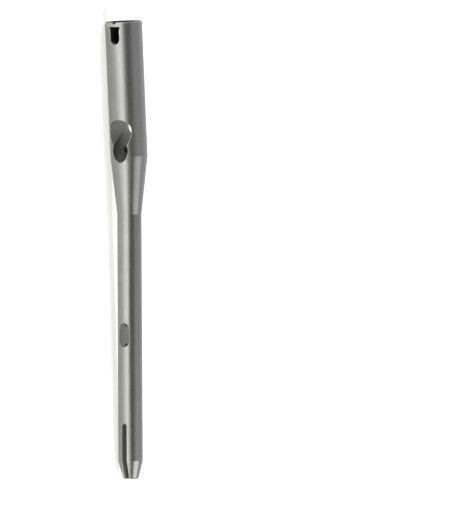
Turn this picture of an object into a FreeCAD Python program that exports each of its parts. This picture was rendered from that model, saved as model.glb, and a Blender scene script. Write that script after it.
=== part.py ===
import FreeCAD, Part
import math
import os

from FreeCAD import Placement, Rotation, Vector

# Short nail for the upper thigh bone, turned and milled from one bar of titanium alloy.
# Lengths are in millimetres and angles in degrees.
# The nail is drawn with its head along +X, away from the upper end face at the origin.
# Its outer (lateral) side faces -Y while it is drawn. At the end it is rolled about X
# into the position in which it comes to rest on a level surface.

# Outer form
total_length = 200.0
head_diameter = 16.25
head_length = 58.4
rim_chamfer = 0.4
bend_angle = 4.0
shoulder_land = 0.3
cone_length = 26.0
shaft_diameter = 10.7
tip_length = 7.9
tip_diameter = 6.7
tip_edge_radius = 0.9

# Rounding on the rims of the holes, the slot, the window and the slit
rim_round = 0.2

# Bore, from the upper end down
mouth_chamfer = 0.25
thread_bore_diameter = 10.9
thread_bore_length = 16.0
channel_diameter = 9.0
channel_length = 24.0
cannulation_diameter = 4.4
drill_point_angle = 118.0

# Window and index notch in the head
window_top = 2.0
window_length = 7.6
window_width = 4.2
window_bar_width = 4.8
window_bar_height = 1.0
notch_width = 1.6
notch_depth = 0.65

# Pair of overlapping screw holes that rise towards the hip
hole_slope = 35.0
lag_hole_diameter = 10.5
lag_hole_place = 43.6
twin_hole_diameter = 7.5
twin_hole_offset = 6.25

# Slot for the locking screw
slot_width = 4.9
slot_length = 10.3
slot_place = 137.1

# Slit that makes the tip springy
slit_width = 2.1
slit_length = 24.3

head_radius = head_diameter / 2
shaft_radius = shaft_diameter / 2
bend_rotation = Rotation(Vector(0, 0, 1), -bend_angle)
bend_point = Vector(head_length, 0, 0)
shaft_direction = bend_rotation.multVec(Vector(1, 0, 0))
shaft_length = total_length - head_length

# How far a cutting tool runs past the surface that it opens
tool_overrun = 1.0

# Two shapes closer than this are taken to touch
contact_gap = 1e-4


def turned(points):
    """Turn a closed outline of (along, radius) points about the X axis."""
    corners = [Vector(along, radius, 0) for along, radius in points]
    outline = Part.makePolygon(corners + [corners[0]])
    return Part.Face(outline).revolve(Vector(0, 0, 0), Vector(1, 0, 0), 360)


def drill(diameter, start, end, point_angle=None):
    """Round tool along X, with a drill point past its end if an angle is given."""
    radius = diameter / 2
    point_length = 0.0
    if point_angle:
        point_length = radius / math.tan(math.radians(point_angle / 2))
    outline = [(start, 0), (start, radius), (end, radius)]
    if point_length:
        outline.append((end + point_length, 0))
    else:
        outline.append((end, 0))
    return turned(outline)


def on_shaft(shape):
    """Place a shape drawn along X so that it starts at the bend and follows the shaft."""
    placed = shape.copy()
    placed.Placement = Placement(bend_point, bend_rotation).multiply(placed.Placement)
    return placed


def half_space(direction):
    """Large block on one side of the plane that halves the bend."""
    reach = 4 * total_length
    block = Part.makeBox(reach, reach, reach, Vector(0, -reach / 2, -reach / 2))
    if direction < 0:
        block.translate(Vector(-reach, 0, 0))
    block.Placement = Placement(bend_point, Rotation(Vector(0, 0, 1), -bend_angle / 2)).multiply(
        block.Placement
    )
    return block


def head_body():
    past_bend = head_length + head_radius
    outline = [
        (0, 0),
        (0, head_radius - rim_chamfer),
        (rim_chamfer, head_radius),
        (past_bend, head_radius),
        (past_bend, 0),
    ]
    return turned(outline).common(half_space(-1))


def shaft_body():
    """Land, cone, shaft and tapered tip with a rounded edge, drawn from the bend."""
    mitre_reach = head_radius * math.tan(math.radians(bend_angle / 2))
    land_end = mitre_reach + shoulder_land
    taper_start = shaft_length - tip_length
    tip_radius = tip_diameter / 2
    taper_angle = math.atan2(shaft_radius - tip_radius, tip_length)
    corners = [
        Vector(-head_radius, 0, 0),
        Vector(-head_radius, head_radius, 0),
        Vector(land_end, head_radius, 0),
        Vector(cone_length, shaft_radius, 0),
        Vector(taper_start, shaft_radius, 0),
    ]
    turn = math.pi / 2 - taper_angle
    setback = tip_edge_radius * math.tan(turn / 2)
    along_taper = Vector(math.cos(taper_angle), -math.sin(taper_angle), 0)
    corner = Vector(shaft_length, tip_radius, 0)
    arc_start = corner - along_taper * setback
    arc_end = corner - Vector(0, setback, 0)
    arc_centre = Vector(shaft_length - tip_edge_radius, tip_radius - setback, 0)
    middle_angle = (math.pi / 2 - taper_angle) / 2
    arc_middle = arc_centre + Vector(math.cos(middle_angle), math.sin(middle_angle), 0) * tip_edge_radius
    edges = [Part.LineSegment(corners[i], corners[i + 1]).toShape() for i in range(len(corners) - 1)]
    edges.append(Part.LineSegment(corners[-1], arc_start).toShape())
    edges.append(Part.Arc(arc_start, arc_middle, arc_end).toShape())
    edges.append(Part.LineSegment(arc_end, Vector(shaft_length, 0, 0)).toShape())
    edges.append(Part.LineSegment(Vector(shaft_length, 0, 0), corners[0]).toShape())
    solid = Part.Face(Part.Wire(edges)).revolve(Vector(0, 0, 0), Vector(1, 0, 0), 360)
    return on_shaft(solid).common(half_space(1))


def bore_tools():
    thread_radius = thread_bore_diameter / 2
    mouth = turned(
        [
            (-mouth_chamfer, 0),
            (-mouth_chamfer, thread_radius + 2 * mouth_chamfer),
            (mouth_chamfer, thread_radius),
            (mouth_chamfer, 0),
        ]
    )
    thread_bore = drill(thread_bore_diameter, 0, thread_bore_length, drill_point_angle)
    channel = drill(channel_diameter, 0, channel_length, drill_point_angle)
    upper_cannulation = drill(cannulation_diameter, 0, head_length)
    knee = Part.makeSphere(cannulation_diameter / 2, bend_point)
    lower_cannulation = on_shaft(drill(cannulation_diameter, 0, shaft_length + tool_overrun))
    return [mouth, thread_bore, channel, upper_cannulation, knee, lower_cannulation]


def window_tool():
    """Window with a wider bar at its top and a round lower end, through the outer wall only."""
    radius = window_width / 2
    flat_length = window_length - radius
    reach = head_radius + tool_overrun
    box = Part.makeBox(flat_length, reach, window_width, Vector(window_top, -reach, -radius))
    end = Part.makeCylinder(radius, reach, Vector(window_top + flat_length, 0, 0), Vector(0, -1, 0))
    bar = Part.makeBox(
        window_bar_height, reach, window_bar_width, Vector(window_top, -reach, -window_bar_width / 2)
    )
    return box.fuse([end, bar])


def notch_tool():
    reach = head_radius + tool_overrun
    corner = Vector(-tool_overrun, -reach, -notch_width / 2)
    return Part.makeBox(notch_depth + tool_overrun, reach, notch_width, corner)


def oblique_hole(diameter, place):
    """Round hole through the head, lower at the outer side than at the inner side."""
    slope = math.radians(hole_slope)
    direction = Vector(math.sin(slope), -math.cos(slope), 0)
    half_reach = head_diameter / math.cos(slope)
    start = Vector(place, 0, 0) - direction * half_reach
    return Part.makeCylinder(diameter / 2, 2 * half_reach, start, direction)


def locking_slot():
    radius = slot_width / 2
    flat_length = slot_length - slot_width
    place = slot_place - head_length
    start = Vector(place - flat_length / 2, shaft_diameter, 0)
    box = Part.makeBox(
        flat_length, 2 * shaft_diameter, slot_width, start - Vector(0, 2 * shaft_diameter, radius)
    )
    upper_end = Part.makeCylinder(radius, 2 * shaft_diameter, start, Vector(0, -1, 0))
    lower_end = upper_end.copy()
    lower_end.translate(Vector(flat_length, 0, 0))
    return on_shaft(box.fuse([upper_end, lower_end]))


def tip_slit():
    radius = slit_width / 2
    start = shaft_length - slit_length + radius
    box = Part.makeBox(
        slit_length, 2 * shaft_diameter, slit_width, Vector(start, -shaft_diameter, -radius)
    )
    end = Part.makeCylinder(
        radius, 2 * shaft_diameter, Vector(start, shaft_diameter, 0), Vector(0, -1, 0)
    )
    return on_shaft(box.fuse(end))


def resting_roll():
    """Roll about X at which the head lies flat and the shaft's end touches the same surface."""
    contact = shaft_length - tip_length
    span = math.hypot(contact, shaft_radius)
    dip = math.asin(head_radius / span) - math.atan2(shaft_radius, contact)
    ratio = math.sin(dip) / math.sin(math.radians(bend_angle))
    return math.degrees(math.asin(min(1.0, ratio)))


def rim_edges(shape, tool, skin):
    """Edges of the shape where the tool has broken through the skin."""
    edges = []
    for edge in shape.Edges:
        points = [Part.Vertex(point) for point in edge.discretize(5)]
        gaps = [max(p.distToShape(skin)[0], p.distToShape(tool)[0]) for p in points]
        if edge.Length > contact_gap and max(gaps) < contact_gap:
            edges.append(edge)
    return edges


def soft_cut(shape, tool, skin):
    """Cut a hole and round its rims at the skin."""
    opened = shape.cut(tool)
    return opened.makeFillet(rim_round, rim_edges(opened, tool.Shells[0], skin))


def nail():
    twin_hole_place = lag_hole_place + twin_hole_offset / math.cos(math.radians(hole_slope))
    hole_pair = oblique_hole(lag_hole_diameter, lag_hole_place)
    hole_pair = hole_pair.fuse(oblique_hole(twin_hole_diameter, twin_hole_place))
    body = head_body().fuse(shaft_body()).removeSplitter()
    skin = body.Shells[0]
    for tool in [window_tool(), hole_pair, locking_slot(), tip_slit()]:
        body = soft_cut(body, tool, skin)
    for tool in bore_tools() + [notch_tool()]:
        body = body.cut(tool)
    return body.removeSplitter()


def main():
    os.makedirs("parts", exist_ok=True)
    body = nail()
    body.rotate(Vector(0, 0, 0), Vector(1, 0, 0), resting_roll())
    solid = body.Solids[0]
    solid.exportStep("parts/nail_body.step")
    box = solid.BoundBox
    print("solids", len(body.Solids), "valid", solid.isValid(), "volume", round(solid.Volume, 1))
    print("roll", round(resting_roll(), 3))
    print("box", [round(v, 3) for v in (box.XMin, box.XMax, box.YMin, box.YMax, box.ZMin, box.ZMax)])
    centre = solid.CenterOfMass
    print("centre of mass", [round(v, 3) for v in centre])


main()
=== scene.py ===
# %% [markdown]
# # A short nail for the upper thigh bone
#
# The real object is one bar of titanium alloy, turned, drilled, milled, bent by four
# degrees and then blasted to an even satin. It is slid down inside the thigh bone, and
# screws go through its sloping holes and its slot.
#
# The solids come from the CAD model, so its outline is already right. What is left for
# Blender is what a drawing doesn't hold: the metal's finish, the thread inside the mouth,
# and light that lets a plain grey bar read as round. The nail lies as it would on a
# bench, and the camera is turned so that its wide end is at the top of the picture.

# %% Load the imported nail
import bmesh
import bpy
import math
from mathutils import Matrix, Vector


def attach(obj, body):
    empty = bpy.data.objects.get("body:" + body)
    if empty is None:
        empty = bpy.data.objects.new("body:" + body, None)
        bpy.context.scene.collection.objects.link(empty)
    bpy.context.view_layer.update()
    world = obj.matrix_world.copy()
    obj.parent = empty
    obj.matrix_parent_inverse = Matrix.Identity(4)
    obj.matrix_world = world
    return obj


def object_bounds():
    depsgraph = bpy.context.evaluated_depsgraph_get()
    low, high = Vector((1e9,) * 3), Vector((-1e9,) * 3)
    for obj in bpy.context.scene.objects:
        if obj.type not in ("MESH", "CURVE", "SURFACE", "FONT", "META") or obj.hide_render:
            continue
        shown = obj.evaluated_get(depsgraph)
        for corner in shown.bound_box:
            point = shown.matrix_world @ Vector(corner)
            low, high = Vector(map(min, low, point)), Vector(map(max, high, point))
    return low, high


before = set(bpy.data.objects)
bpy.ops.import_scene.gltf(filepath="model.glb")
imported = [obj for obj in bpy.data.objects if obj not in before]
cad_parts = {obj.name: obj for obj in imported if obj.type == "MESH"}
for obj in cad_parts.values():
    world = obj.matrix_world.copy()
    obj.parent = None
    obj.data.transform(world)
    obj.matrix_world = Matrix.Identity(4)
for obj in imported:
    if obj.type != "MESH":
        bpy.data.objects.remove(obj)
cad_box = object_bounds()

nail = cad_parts["nail_body"]
print("nail:", len(nail.data.polygons), "faces, from", tuple(cad_box[0]), "to", tuple(cad_box[1]))

# %% [markdown]
# ## Where things are on the nail
#
# The frame's +X runs down the axis of the wide head, and the origin is the centre of the
# upper end face. The shaft leaves the head at a bend. The whole nail is rolled about X
# into the position in which it comes to rest. A finish or a thread that follows the
# metal needs these few directions, so they are worked out once, in metres.

# %% Axes of the head and the shaft
MM = 0.001
roll = math.radians(17.317)
bend = math.radians(4.0)
head_axis = Vector((1.0, 0.0, 0.0))
outer_side = Vector((0.0, -math.cos(roll), -math.sin(roll)))
across = Vector((0.0, -math.sin(roll), math.cos(roll)))
shaft_axis = head_axis * math.cos(bend) + outer_side * math.sin(bend)
nail_length = 200.0 * MM
bend_place = 58.4 * MM
bend_point = head_axis * bend_place
floor_height = cad_box[0].z
print("shaft axis:", [round(v, 4) for v in shaft_axis], "floor at", round(floor_height / MM, 2), "mm")

# %% [markdown]
# ## Two helpers for materials
#
# Paint shops and screens give colours as sRGB hex values, while Blender's sockets want
# linear light, so one function turns the first into the second. The other adds a node,
# sets its options and fills or links its inputs, which keeps each material readable from
# top to bottom.

# %% Colour and node helpers
def linear(hex_colour):
    """Turn an sRGB hex colour into linear red, green, blue and alpha."""
    channels = [int(hex_colour[i:i + 2], 16) / 255 for i in (1, 3, 5)]
    return [c / 12.92 if c <= 0.04045 else ((c + 0.055) / 1.055) ** 2.4 for c in channels] + [1.0]


def add_node(tree, kind, settings=(), inputs=()):
    """Add a node, set its options, and give each named input a value or a link."""
    node = tree.nodes.new(kind)
    for option, value in dict(settings).items():
        setattr(node, option, value)
    for socket, value in dict(inputs).items():
        if isinstance(value, bpy.types.NodeSocket):
            tree.links.new(value, node.inputs[socket])
        else:
            node.inputs[socket].default_value = value
    return node


def fresh_tree(owner):
    """Switch a material or the world to nodes and empty its tree."""
    owner.use_nodes = True
    owner.node_tree.nodes.clear()
    return owner.node_tree


# %% [markdown]
# ## Satin titanium alloy
#
# Titanium alloy (Ti-6Al-4V) is a middling grey metal, a little warmer and much darker
# than steel. Turning leaves rings round the bar, and blasting with fine beads breaks them
# up into an even satin, so highlights are broad and soft. Inside the holes the beads
# hardly reach, so the metal there stays rougher, and some holes get a darker colour as
# painted shade of their recesses. On the rims, handling and tumbling leave the edges brighter.
#
# All of this is painted from the place on the nail: how far along its axis a point is,
# and how deep under the skin. The axis changes at the bend, so the first nodes pick the
# head's or the shaft's axis. An image wrapped round the nail could hold the same tones,
# but it would need a seam and would blur close up, so nodes are used.

# %% Nodes that know the place on the nail
def place_on_nail(tree):
    """Return sockets for the position, the distance along and from the axis, and the depth."""
    position = add_node(tree, "ShaderNodeTexCoord").outputs["Object"]
    from_bend = add_node(
        tree, "ShaderNodeVectorMath", {"operation": "SUBTRACT"}, {0: position, 1: bend_point}
    ).outputs["Vector"]
    past_bend = add_node(
        tree, "ShaderNodeVectorMath", {"operation": "DOT_PRODUCT"},
        {0: from_bend, 1: head_axis + shaft_axis},
    ).outputs["Value"]
    on_shaft = add_node(
        tree, "ShaderNodeMath", {"operation": "GREATER_THAN"}, {0: past_bend, 1: 0.0}
    ).outputs["Value"]
    axis = add_node(
        tree, "ShaderNodeMix", {"data_type": "VECTOR"}, {0: on_shaft, 4: head_axis, 5: shaft_axis}
    ).outputs[1]
    along = add_node(
        tree, "ShaderNodeVectorMath", {"operation": "DOT_PRODUCT"}, {0: from_bend, 1: axis}
    ).outputs["Value"]
    on_axis = add_node(
        tree, "ShaderNodeVectorMath", {"operation": "SCALE"}, {0: axis, "Scale": along}
    ).outputs["Vector"]
    radius = add_node(
        tree, "ShaderNodeVectorMath", {"operation": "DISTANCE"}, {0: from_bend, 1: on_axis}
    ).outputs["Value"]
    # The skin is 8.125 mm from the axis on the head, narrows over the 26 mm cone to
    # 5.35 mm, and narrows again to 3.35 mm over the last 7.9 mm.
    cone = add_node(
        tree, "ShaderNodeMapRange", {"clamp": True},
        {"Value": along, "From Min": 0.6 * MM, "From Max": 26.0 * MM,
         "To Min": 8.125 * MM, "To Max": 5.35 * MM},
    ).outputs["Result"]
    taper = add_node(
        tree, "ShaderNodeMapRange", {"clamp": True},
        {"Value": along, "From Min": 133.7 * MM, "From Max": 141.6 * MM,
         "To Min": 0.0, "To Max": 2.0 * MM},
    ).outputs["Result"]
    skin = add_node(
        tree, "ShaderNodeMath", {"operation": "SUBTRACT"}, {0: cone, 1: taper}
    ).outputs["Value"]
    depth = add_node(
        tree, "ShaderNodeMath", {"operation": "SUBTRACT"}, {0: skin, 1: radius}
    ).outputs["Value"]
    return position, along, radius, depth


# %% [markdown]
# ## What tools and hands leave on the skin
#
# Three patterns at three sizes keep the metal from looking like plastic: rings from the
# lathe, grain from the beads, and slow clouds from uneven blasting and from hands. Each
# one is a noise texture, because none of them is regular on the real bar.

# %% Rings, grain and clouds
def surface_patterns(tree, position, along):
    """Return sockets for the turning rings, the blasting grain and the cloudy tone."""
    # Turning rings: the tool's feed is about 0.1 mm, too fine for this picture, so they
    # are drawn about 0.7 mm apart and uneven, as rings that beat against each other.
    rings = add_node(
        tree, "ShaderNodeTexNoise", {"noise_dimensions": "1D"},
        {"W": along, "Scale": 1 / (0.7 * MM), "Detail": 3.0, "Roughness": 0.6},
    ).outputs["Fac"]
    # Blasting grain: beads of 0.1 mm leave dimples that don't show from here, so the
    # grain is drawn at 0.45 mm, about one pixel of the picture.
    grain = add_node(
        tree, "ShaderNodeTexNoise", {},
        {"Vector": position, "Scale": 1 / (0.45 * MM), "Detail": 4.0, "Roughness": 0.65},
    ).outputs["Fac"]
    # Cloudy change of tone from uneven blasting and handling, in patches of about 9 mm.
    clouds = add_node(
        tree, "ShaderNodeTexNoise", {},
        {"Vector": position, "Scale": 1 / (9.0 * MM), "Detail": 3.0, "Roughness": 0.55},
    ).outputs["Fac"]
    return rings, grain, clouds


# %% [markdown]
# ## Holes and rims, found by depth
#
# Every hole leads down from the skin, so depth alone tells the two apart: from a few
# tenths of a millimetre down it is a hole, and the thin zone above that is its rounded
# rim. This saves picking faces by hand, and it goes on working if a hole is moved.

# %% Masks for the holes and their rims
def hole_and_rim(tree, depth):
    """Return masks for the inside of the holes and for their rims."""
    masks = []
    # Each row is the depths in millimetres where a mask starts and ends its change, and
    # its values before and after.
    for start, end, before, after in [
        (0.15, 0.6, 0.0, 1.0), (0.05, 0.12, 0.0, 1.0), (0.2, 0.45, 1.0, 0.0),
    ]:
        mask = add_node(
            tree, "ShaderNodeMapRange", {"clamp": True, "interpolation_type": "SMOOTHSTEP"},
            {"Value": depth, "From Min": start * MM, "From Max": end * MM,
             "To Min": before, "To Max": after},
        )
        masks.append(mask.outputs["Result"])
    in_hole, past_rim_start, before_rim_end = masks
    on_rim = add_node(
        tree, "ShaderNodeMath", {"operation": "MULTIPLY"}, {0: past_rim_start, 1: before_rim_end}
    ).outputs["Value"]
    return in_hole, on_rim


# %% [markdown]
# ## The colour inside the holes
#
# Inside the holes the tone changes down the nail, and the darker tones are painted shade.
# The threaded mouth is painted dark, the reamed neck screw hole keeps a clean tone, the
# narrower one below it is painted dark, and the milled slot and slit keep a clean tone
# again. A colour ramp along the nail holds these tones, and one more mask by radius paints
# the guide wire's bore dark.

# %% Tones and painted shade down the nail
def colour_and_painted_shade_in_holes(tree, along, radius, colours):
    """Return the metal's colour inside the holes, with painted shade in the darker ones."""
    nail_share = add_node(
        tree, "ShaderNodeMapRange", {"clamp": True},
        {"Value": along, "From Min": -bend_place, "From Max": nail_length - bend_place,
         "To Min": 0.0, "To Max": 1.0},
    ).outputs["Result"]
    tones = add_node(tree, "ShaderNodeValToRGB", {}, {"Fac": nail_share})
    elements = tones.color_ramp.elements
    # Stops are millimetres from the head's end; the darker tones are painted shade.
    stops = [
        (20.0, "mouth shade"), (28.0, "hole"), (47.0, "hole"),
        (57.0, "drilled hole shade"), (64.0, "drilled hole shade"), (75.0, "hole"),
    ]
    for number, (place, part) in enumerate(stops):
        stop = elements[number] if number < 2 else elements.new(1.0)
        stop.position = place * MM / nail_length
        stop.color = linear(colours[part])
    # Nothing but the guide wire's bore lies within 2.2 mm of the axis, and it gets a dark painted shade.
    in_wire_bore = add_node(
        tree, "ShaderNodeMapRange", {"clamp": True},
        {"Value": radius, "From Min": 2.22 * MM, "From Max": 2.32 * MM, "To Min": 1.0, "To Max": 0.0},
    ).outputs["Result"]
    return add_node(
        tree, "ShaderNodeMix", {"data_type": "RGBA"},
        {0: in_wire_bore, 6: tones.outputs["Color"], 7: linear(colours["wire bore shade"])},
    ).outputs[2]


# %% [markdown]
# ## Putting the satin together
#
# The colour is mixed from the skin, the holes and the rims, and the clouds and rings
# shift it by a few percent. Roughness follows the grain, is higher in the holes and
# lower on the rubbed rims. Rings and grain also go into the bump, at heights of a few
# thousandths of a millimetre. The metal keeps Blender's own index of refraction,
# because a metal's colour is in its base colour.

# %% The satin titanium itself
def metal_colour(tree, masks, patterns, hole_colour_and_shade, colours):
    """Return the colour of the skin, the holes and the rims, with its small changes of tone."""
    in_hole, on_rim = masks
    rings, clouds = patterns
    tones = [
        add_node(
            tree, "ShaderNodeMapRange", {"clamp": True},
            {"Value": pattern, "From Min": 0.3, "From Max": 0.7, "To Min": darkest, "To Max": lightest},
        ).outputs["Result"]
        for pattern, darkest, lightest in [(clouds, 0.955, 1.03), (rings, 0.985, 1.015)]
    ]
    tone = add_node(
        tree, "ShaderNodeMath", {"operation": "MULTIPLY"}, {0: tones[0], 1: tones[1]}
    ).outputs["Value"]
    skin_or_hole = add_node(
        tree, "ShaderNodeMix", {"data_type": "RGBA"},
        {0: in_hole, 6: linear(colours["skin"]), 7: hole_colour_and_shade},
    ).outputs[2]
    with_rim = add_node(
        tree, "ShaderNodeMix", {"data_type": "RGBA"},
        {0: on_rim, 6: skin_or_hole, 7: linear(colours["rim"])},
    ).outputs[2]
    return add_node(
        tree, "ShaderNodeVectorMath", {"operation": "SCALE"}, {0: with_rim, "Scale": tone}
    ).outputs["Vector"]


def satin_titanium(name, colours, roughness, hole_roughness):
    """Turned and bead-blasted titanium alloy, rougher in its holes, with painted shade in some of them, and
    brighter on its rims.
    """
    material = bpy.data.materials.new(name)
    tree = fresh_tree(material)
    position, along, radius, depth = place_on_nail(tree)
    rings, grain, clouds = surface_patterns(tree, position, along)
    in_hole, on_rim = hole_and_rim(tree, depth)
    hole_colour_and_shade = colour_and_painted_shade_in_holes(tree, along, radius, colours)
    colour = metal_colour(tree, (in_hole, on_rim), (rings, clouds), hole_colour_and_shade, colours)

    grain_roughness = add_node(
        tree, "ShaderNodeMapRange", {"clamp": True},
        {"Value": grain, "From Min": 0.3, "From Max": 0.7,
         "To Min": roughness - 0.035, "To Max": roughness + 0.035},
    ).outputs["Result"]
    inner_roughness = add_node(
        tree, "ShaderNodeMath", {"operation": "MULTIPLY_ADD"},
        {0: in_hole, 1: hole_roughness - roughness, 2: grain_roughness},
    ).outputs["Value"]
    final_roughness = add_node(
        tree, "ShaderNodeMath", {"operation": "MULTIPLY_ADD"},
        {0: on_rim, 1: -0.08, 2: inner_roughness},
    ).outputs["Value"]

    ring_bump = add_node(
        tree, "ShaderNodeBump", {}, {"Height": rings, "Strength": 0.25, "Distance": 0.006 * MM}
    ).outputs["Normal"]
    grain_bump = add_node(
        tree, "ShaderNodeBump", {},
        {"Height": grain, "Normal": ring_bump, "Strength": 0.35, "Distance": 0.01 * MM},
    ).outputs["Normal"]

    shader = add_node(
        tree, "ShaderNodeBsdfPrincipled", {},
        {"Base Color": colour, "Metallic": 1.0, "Roughness": final_roughness, "Normal": grain_bump},
    ).outputs["BSDF"]
    add_node(tree, "ShaderNodeOutputMaterial", {}, {"Surface": shader})
    return material


# %% Dress the nail
# The mouth, drilled hole and wire bore tones are painted shade, darker than the skin.
nail_colours = {
    "skin": "#C8C8C6", "rim": "#D6D6D4", "mouth shade": "#6A6A68", "hole": "#CACAC8",
    "drilled hole shade": "#8C8C8A", "wire bore shade": "#868684",
}
titanium = satin_titanium("satin_blasted_titanium", nail_colours, 0.3, 0.55)
nail.data.materials.clear()
nail.data.materials.append(titanium)
print("nail wears", titanium.name, "with", len(titanium.node_tree.nodes), "nodes")

# %% [markdown]
# ## The thread inside the mouth
#
# The bolt of the insertion handle, and later an end cap, screw into the head. The CAD
# model has a plain bore at the thread's outer diameter, so the ridge is added here. A
# thread is one small profile carried round the axis while it moves along it, which is
# what bmesh's spin does when it is given a step. The window is milled through the
# thread, so each turn that would cross it starts at one side of the window and stops at
# the other. Below the window the ridge is one unbroken sweep. Spin starts from a whole
# face, so it leaves that face and the last one as caps, and every ridge is closed.

# %% Sweep one length of the thread
FULL_TURN = 2 * math.pi
thread_pitch = 1.25 * MM
thread_start = 1.0 * MM
thread_turns = 11
# The ridge's corners: the place along the axis and the radius. Its foot is let 0.05 mm
# into the bore's wall, so that no gap shows.
ridge_profile = [
    (-0.575 * MM, 5.5 * MM), (-0.1 * MM, 4.85 * MM), (0.1 * MM, 4.85 * MM), (0.575 * MM, 5.5 * MM),
]
window_angle = math.atan2(-outer_side.y, outer_side.z)


def thread_ridge(bm, start_angle, end_angle):
    """Sweep the ridge between two angles, counted on from the window's middle."""
    start = thread_start + thread_pitch * start_angle / FULL_TURN
    corners = [bm.verts.new((start + along, 0.0, radius)) for along, radius in ridge_profile]
    face = bm.faces.new(corners)
    to_start = Matrix.Rotation(window_angle + start_angle, 4, head_axis)
    bmesh.ops.transform(bm, matrix=to_start, verts=corners)
    sweep = end_angle - start_angle
    steps = round(sweep / math.radians(5.0))
    lead = thread_pitch * sweep / FULL_TURN
    bmesh.ops.spin(
        bm, geom=[face] + list(face.edges) + corners, cent=(0.0, 0.0, 0.0), axis=head_axis,
        dvec=(lead / steps, 0.0, 0.0), angle=sweep, steps=steps, use_merge=False,
    )


# %% Cut the thread and give it its finish
# Seven turns cross the window. Each stops two degrees short of its side. Only the ratio
# of the two widths counts here, so they stay in millimetres.
turns_at_window = 7
half_window = 2.1
bore_radius = 5.45
window_side = math.asin(half_window / bore_radius) + math.radians(2.0)
bm = bmesh.new()
for turn_number in range(turns_at_window):
    before_window = (turn_number + 1) * FULL_TURN - window_side
    thread_ridge(bm, turn_number * FULL_TURN + window_side, before_window)
thread_ridge(bm, turns_at_window * FULL_TURN + window_side, thread_turns * FULL_TURN)
bmesh.ops.recalc_face_normals(bm, faces=bm.faces)
open_edges = sum(not edge.is_manifold for edge in bm.edges)
thread_mesh = bpy.data.meshes.new("mouth_thread")
bm.to_mesh(thread_mesh)
bm.free()
thread_mesh.set_sharp_from_angle(angle=math.radians(35))
for polygon in thread_mesh.polygons:
    polygon.use_smooth = True
mouth_thread = bpy.data.objects.new("mouth_thread", thread_mesh)
bpy.context.scene.collection.objects.link(mouth_thread)
# The thread's mouth tone is a painted shade too, a little lighter than the nail's.
thread_colours = nail_colours | {"mouth shade": "#747472"}
thread_metal = satin_titanium("cut_thread_titanium", thread_colours, 0.3, 0.4)
thread_mesh.materials.append(thread_metal)
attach(mouth_thread, "root")
print("thread:", thread_turns, "turns,", len(thread_mesh.polygons), "faces,", open_edges, "open edges")

# %% [markdown]
# ## A pale floor
#
# The nail lies on a matt white board that reaches past the horizon of every view. The
# board is nearly white, and a little light of its own is added only to what the camera
# sees of it, which lifts it to the white of the photo without putting more light on the
# nail. The nail's soft shadow stays. What metal mirrors, or glass lets through, of the
# board gets such a lift too. It is half as strong, because the photo's metal is grey
# where it faces the board.

# %% Make the floor
bm = bmesh.new()
bmesh.ops.create_grid(bm, x_segments=8, y_segments=8, size=8.0)
bmesh.ops.translate(bm, verts=bm.verts, vec=(0.0, 0.0, floor_height))
floor_mesh = bpy.data.meshes.new("floor")
bm.to_mesh(floor_mesh)
bm.free()
floor = bpy.data.objects.new("floor", floor_mesh)
bpy.context.scene.collection.objects.link(floor)

board = bpy.data.materials.new("matt_white_board")
tree = fresh_tree(board)
lift_for_camera = 0.6
lift_for_metal = 0.28
light_path = add_node(tree, "ShaderNodeLightPath").outputs
through_object = add_node(
    tree, "ShaderNodeMath", {"operation": "ADD"},
    {0: light_path["Is Glossy Ray"], 1: light_path["Is Transmission Ray"]},
).outputs["Value"]
half_lift = add_node(
    tree, "ShaderNodeMath", {"operation": "MULTIPLY"}, {0: through_object, 1: lift_for_metal}
).outputs["Value"]
lift = add_node(
    tree, "ShaderNodeMath", {"operation": "MULTIPLY_ADD"},
    {0: light_path["Is Camera Ray"], 1: lift_for_camera, 2: half_lift},
).outputs["Value"]
matt = add_node(
    tree, "ShaderNodeBsdfDiffuse", {}, {"Color": linear("#EFF1EB"), "Roughness": 0.6}
).outputs["BSDF"]
glow = add_node(
    tree, "ShaderNodeEmission", {}, {"Color": linear("#FFFFFF"), "Strength": lift}
).outputs["Emission"]
both = add_node(tree, "ShaderNodeAddShader", {}, {0: matt, 1: glow}).outputs["Shader"]
add_node(tree, "ShaderNodeOutputMaterial", {}, {"Surface": both})
floor_mesh.materials.append(board)
print("floor at", round(floor_height / MM, 2), "mm")

# %% [markdown]
# ## Soft studio light
#
# A round satin bar shows its surroundings as bands along its length: each band is one
# direction round the bar. The photo has a bright band from the white surface in front, a
# dark one from the unlit side of the room behind the camera, and a middling grey from
# above and behind. The world is painted in those bands by the angle round the X axis.
#
# Two large soft lamps beyond the two ends light the board evenly. They are left out of
# the metal's reflections, where they would be hard white patches on the rims and in the
# sloping holes. The metal mirrors only the third lamp, which hangs above the tip on the
# camera's side and brightens the cone and the tip, whose faces slant towards it.

# %% Paint the room
room = bpy.data.worlds.new("soft_room")
bpy.context.scene.world = room
tree = fresh_tree(room)
direction = add_node(tree, "ShaderNodeTexCoord").outputs["Generated"]
parts = add_node(tree, "ShaderNodeSeparateXYZ", {}, {"Vector": direction}).outputs
towards_camera = add_node(
    tree, "ShaderNodeMath", {"operation": "MULTIPLY"}, {0: parts["Y"], 1: -1.0}
).outputs["Value"]
angle = add_node(
    tree, "ShaderNodeMath", {"operation": "ARCTAN2"}, {0: parts["Z"], 1: towards_camera}
).outputs["Value"]
turn_share = add_node(
    tree, "ShaderNodeMapRange", {"clamp": True},
    {"Value": angle, "From Min": -math.pi, "From Max": math.pi, "To Min": 0.0, "To Max": 1.0},
).outputs["Result"]
bands = add_node(tree, "ShaderNodeValToRGB", {}, {"Fac": turn_share})
front, above = "#FFFFFA", "#FDFBFF"
room_bands = [
    (-180, 0.60, above), (-20, 0.60, front), (5, 0.60, front), (16, 0.20, front),
    (27, 0.09, front), (52, 0.08, above), (68, 0.21, above), (104, 0.29, above),
    (135, 0.48, above), (167, 0.56, above), (180, 0.60, above),
]
ramp = bands.color_ramp
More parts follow.
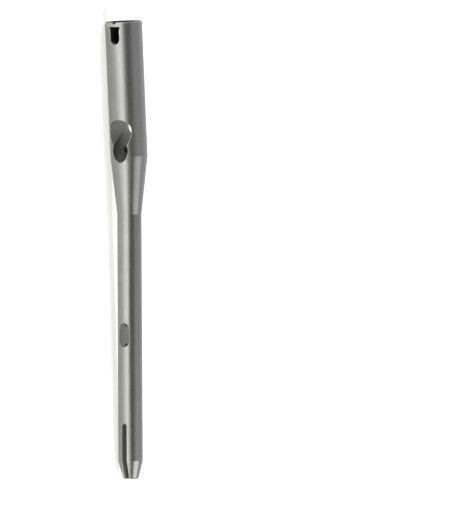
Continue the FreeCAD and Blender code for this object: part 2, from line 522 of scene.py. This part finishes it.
while len(ramp.elements) > 1:
    ramp.elements.remove(ramp.elements[-1])
for number, (degrees, level, tint) in enumerate(room_bands):
    place = (degrees + 180) / 360
    element = ramp.elements[0] if number == 0 else ramp.elements.new(place)
    element.position = place
    element.color = [level * channel for channel in linear(tint)[:3]] + [1.0]
background = add_node(
    tree, "ShaderNodeBackground", {}, {"Color": bands.outputs["Color"], "Strength": 1.0}
).outputs["Background"]
add_node(tree, "ShaderNodeOutputWorld", {}, {"Surface": background})
print("room painted in", len(room_bands), "bands")


# %% Hang the lamps
nail_middle = head_axis * (nail_length / 2)
lamp_distance = 1.6


def soft_lamp(name, towards, length, width, watts, mirrored):
    """An oblong lamp that faces the nail, with its length along the nail and its width round it."""
    data = bpy.data.lights.new(name, "AREA")
    data.shape = "RECTANGLE"
    data.size = length
    data.size_y = width
    data.energy = watts
    lamp = bpy.data.objects.new(name, data)
    bpy.context.scene.collection.objects.link(lamp)
    back = Vector(towards).normalized()
    lamp.location = nail_middle + back * lamp_distance
    round_nail = back.cross(head_axis).normalized()
    along_nail = round_nail.cross(back)
    lamp.rotation_mode = "QUATERNION"
    lamp.rotation_quaternion = Matrix((along_nail, round_nail, back)).transposed().to_quaternion()
    lamp.visible_glossy = mirrored
    print(name, "hangs at", [round(v, 2) for v in lamp.location], "m,", watts, "W")


soft_lamp("lamp_past_tip", (0.80, 0.42, 0.55), 0.9, 0.9, 14.0, mirrored=False)
soft_lamp("lamp_past_head", (-0.80, 0.42, 0.55), 0.9, 0.9, 14.0, mirrored=False)
soft_lamp("lamp_on_slants", (0.49, -0.25, 0.84), 1.02, 1.45, 4.7, mirrored=True)

# %% [markdown]
# ## The camera
#
# The photo shows the nail upright, head at the top, with its outer side turned about 31
# degrees to the left and the top tipped slightly towards us. With the nail lying down
# that is a camera a little above the bench, turned on its side. The lens is very long, so
# the nail's edges stay parallel as they are in the photo. The picture is 450 by 528
# pixels, and one millimetre of the nail is 2.29 of them. The camera is placed by the
# pixel on which the middle of the nail's end face falls.

# %% Set up the camera
turned_away = math.radians(31.0)
tipped = math.radians(4.5)
lean = math.radians(-2.36)
pixels_per_mm = 2.2925
end_face_pixel = (123.4, 21.3)
picture = (450, 528)

facing = outer_side * math.cos(turned_away) + across * math.sin(turned_away)
to_camera = facing * math.cos(tipped) - head_axis * math.sin(tipped)
up = -head_axis * math.cos(tipped) - facing * math.sin(tipped)
right = up.cross(to_camera)
picture_right = right * math.cos(lean) + up * math.sin(lean)
picture_up = up * math.cos(lean) - right * math.sin(lean)

camera_data = bpy.data.cameras.new("camera")
camera_data.sensor_width = 36.0
camera_data.lens = 800.0
picture_height = picture[1] / pixels_per_mm * MM
distance = picture_height * camera_data.lens / camera_data.sensor_width
middle = (
    picture_right * ((picture[0] / 2 - end_face_pixel[0]) / pixels_per_mm * MM)
    + picture_up * ((end_face_pixel[1] - picture[1] / 2) / pixels_per_mm * MM)
)
camera_data.clip_start = 0.1
camera_data.clip_end = 60.0
camera = bpy.data.objects.new("camera", camera_data)
bpy.context.scene.collection.objects.link(camera)
camera.rotation_mode = "QUATERNION"
camera.rotation_quaternion = Matrix((picture_right, picture_up, to_camera)).transposed().to_quaternion()
camera.location = middle + to_camera * distance
bpy.context.scene.camera = camera
print("camera", round(distance, 2), "m away,", round(math.degrees(math.asin(to_camera.z)), 1), "degrees up")

# %% Colour handling
bpy.context.scene.view_settings.view_transform = "Standard"
